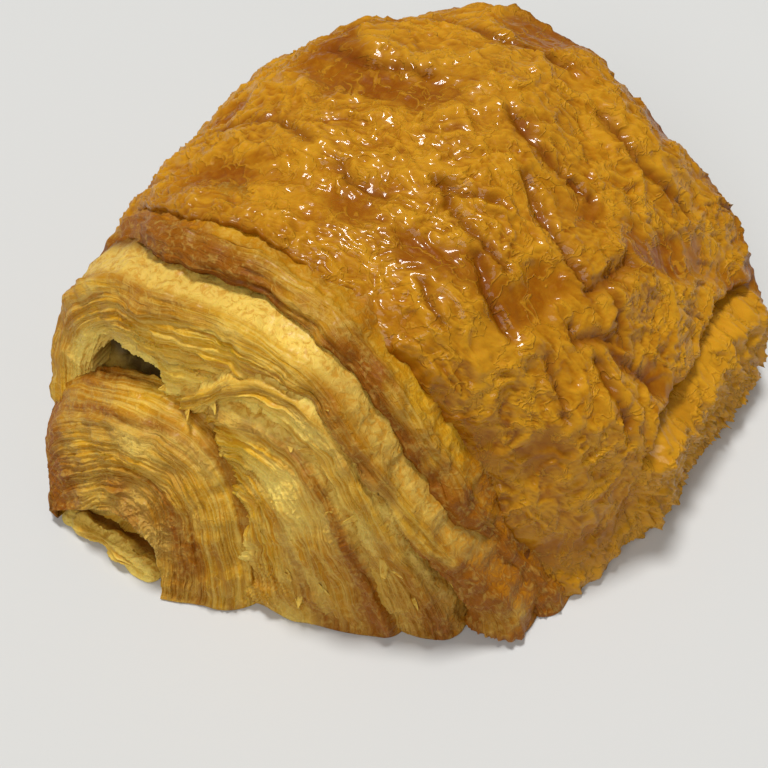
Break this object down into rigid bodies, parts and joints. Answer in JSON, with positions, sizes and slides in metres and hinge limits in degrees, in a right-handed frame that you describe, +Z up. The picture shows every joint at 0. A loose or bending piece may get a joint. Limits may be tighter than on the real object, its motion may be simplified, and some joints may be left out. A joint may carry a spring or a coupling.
{
  "type": "chocolate croissant",
  "caption": "Baked roll of flaky layered dough with a glazed domed top, stepped cut ends and chocolate sticks in tunnels along its length.",
  "frame": {"origin": "under the middle of the object's box, on the surface that it rests on", "axes": "+Y along the roll, away from the cut end with the tongue; +X across it; +Z up"},
  "size_m": [0.0912, 0.1047, 0.0491],
  "materials": {
    "baked_dough": "egg-washed amber crust, glossy on top, with pale matte layered crumb at the cut ends; paper stands in for bread",
    "dark_chocolate": "melted and set dark chocolate, satin; matte plastic stands in for chocolate"
  },
  "bodies": {
    "root": {"pastry": "baked_dough", "chocolate_stick_upper": "dark_chocolate", "chocolate_stick_lower": "dark_chocolate"}
  },
  "joints": []
}
